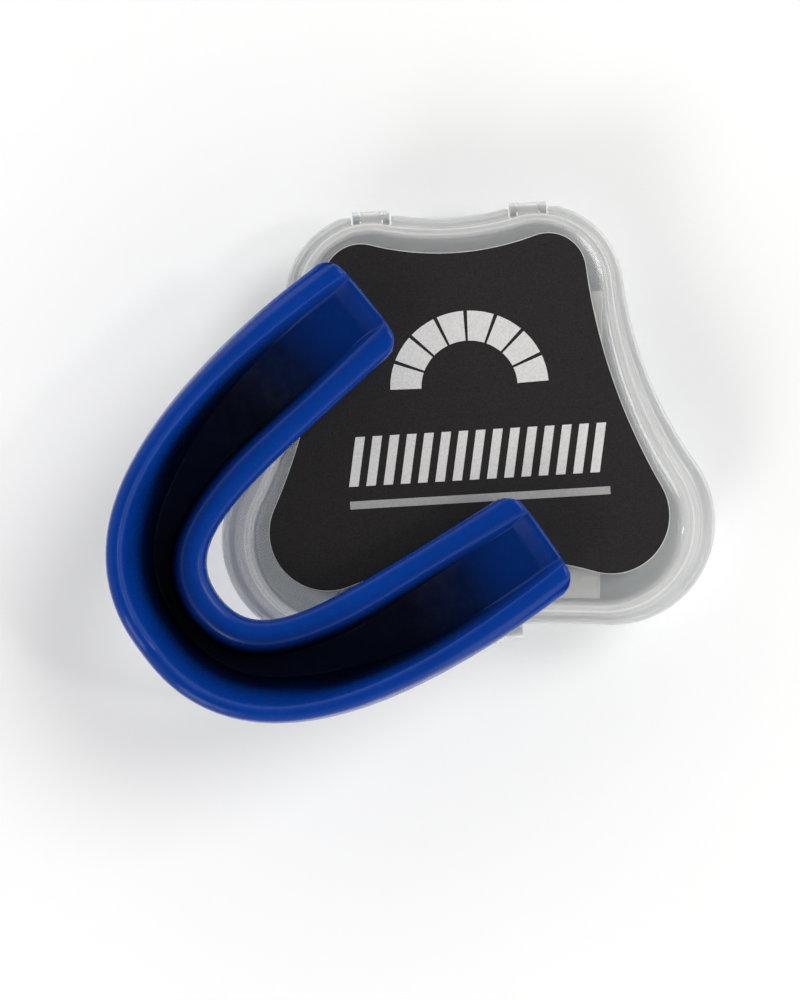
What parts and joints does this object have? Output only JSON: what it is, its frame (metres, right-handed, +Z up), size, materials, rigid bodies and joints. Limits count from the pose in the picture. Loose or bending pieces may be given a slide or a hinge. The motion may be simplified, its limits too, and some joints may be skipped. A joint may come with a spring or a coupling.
{
  "type": "mouthguard with case",
  "caption": "Boil-and-bite mouthguard resting on its hinged, lobed storage case with a front latch, a printed lid label and a folded leaflet inside.",
  "frame": {"origin": "centre of the case tray's flat underside", "axes": "+Z up; +Y from the latch at the front to the hinge at the rear; +X to the right of someone facing the latch"},
  "size_m": [0.1046, 0.087, 0.0415],
  "materials": {
    "clear_case": "frosted translucent",
    "label": "matte print",
    "paper": "uncoated paper",
    "guard": "smooth, slightly glossy"
  },
  "bodies": {
    "base": {"case_base": "clear_case", "hinge_pin_left": "clear_case", "hinge_pin_right": "clear_case"},
    "lid": {"case_lid": "clear_case", "lid_label": "label", "latch_pin": "clear_case", "instruction_leaflet": "paper"},
    "latch": {"latch_clasp": "clear_case"},
    "mouthguard": {"mouthguard": "guard"}
  },
  "joints": [
    {"name": "lid_hinge", "type": "hinge", "parent": "base", "child": "lid", "pos_m": [0, 0.0363, 0.01695], "axis": [-1, 0, 0], "range_deg": [0, 120]},
    {"name": "latch_hinge", "type": "hinge", "parent": "lid", "child": "latch", "pos_m": [0, -0.0374, 0.018], "axis": [-1, 0, 0], "range_deg": [0, 110]},
    {"name": "mouthguard_lift", "type": "slide", "parent": "lid", "child": "mouthguard", "axis": [0, 0, 1], "range_m": [0, 0.06]}
  ]
}
